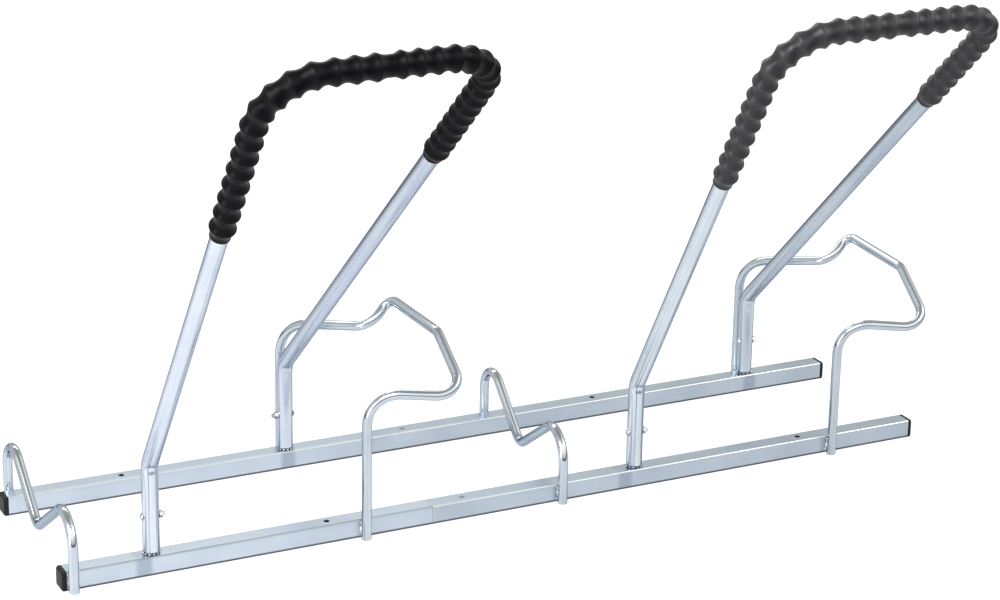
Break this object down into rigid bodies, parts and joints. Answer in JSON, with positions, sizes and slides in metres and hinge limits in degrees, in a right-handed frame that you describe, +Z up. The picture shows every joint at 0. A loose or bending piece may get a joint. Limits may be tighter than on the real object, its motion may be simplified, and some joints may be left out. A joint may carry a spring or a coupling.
{
  "type": "two tier bike rack",
  "caption": "Floor rack of square zinc-plated rails with low and raised bar holders for front wheels and tube hoops, leaning forward, in ribbed rubber sleeves.",
  "frame": {"origin": "bottom centre of the rack's outer box, on the floor", "axes": "+X along the rails, from the starter unit to the added unit; +Y from the front, where the bicycles come in, to the back; +Z up"},
  "size_m": [1.467, 0.7772, 0.8547],
  "materials": {
    "rail_zinc": "bright zinc plating on square tube, satin",
    "bar_zinc": "bright zinc plating on round bar",
    "hoop_zinc": "bright zinc plating on round tube",
    "fastener_zinc": "zinc plating",
    "weld_metal": "plated weld bead, dull",
    "plug_plastic": "black moulded plastic",
    "sleeve_rubber": "black ribbed rubber, satin"
  },
  "bodies": {
    "root": {"front_rail_left": "rail_zinc", "front_rail_right": "rail_zinc", "rear_rail_left": "rail_zinc", "rear_rail_right": "rail_zinc", "front_rail_connector": "rail_zinc", "rear_rail_connector": "rail_zinc", "front_left_end_plug": "plug_plastic", "front_right_end_plug": "plug_plastic", "rear_left_end_plug": "plug_plastic", "rear_right_end_plug": "plug_plastic", "low_wheel_holder_left": "bar_zinc", "low_wheel_holder_right": "bar_zinc", "high_wheel_holder_left": "bar_zinc", "high_wheel_holder_right": "bar_zinc", "leaning_hoop_left": "hoop_zinc", "leaning_hoop_right": "hoop_zinc", "hoop_stub_front_left": "hoop_zinc", "hoop_stub_rear_left": "hoop_zinc", "hoop_stub_front_right": "hoop_zinc", "hoop_stub_rear_right": "hoop_zinc", "left_hoop_front_sleeve": "sleeve_rubber", "left_hoop_rear_sleeve": "sleeve_rubber", "right_hoop_front_sleeve": "sleeve_rubber", "right_hoop_rear_sleeve": "sleeve_rubber", "hoop_bolts": "fastener_zinc", "hoop_nuts": "fastener_zinc", "connector_screws": "fastener_zinc", "hoop_foot_welds": "weld_metal", "weld_beads": "weld_metal"}
  },
  "joints": []
}
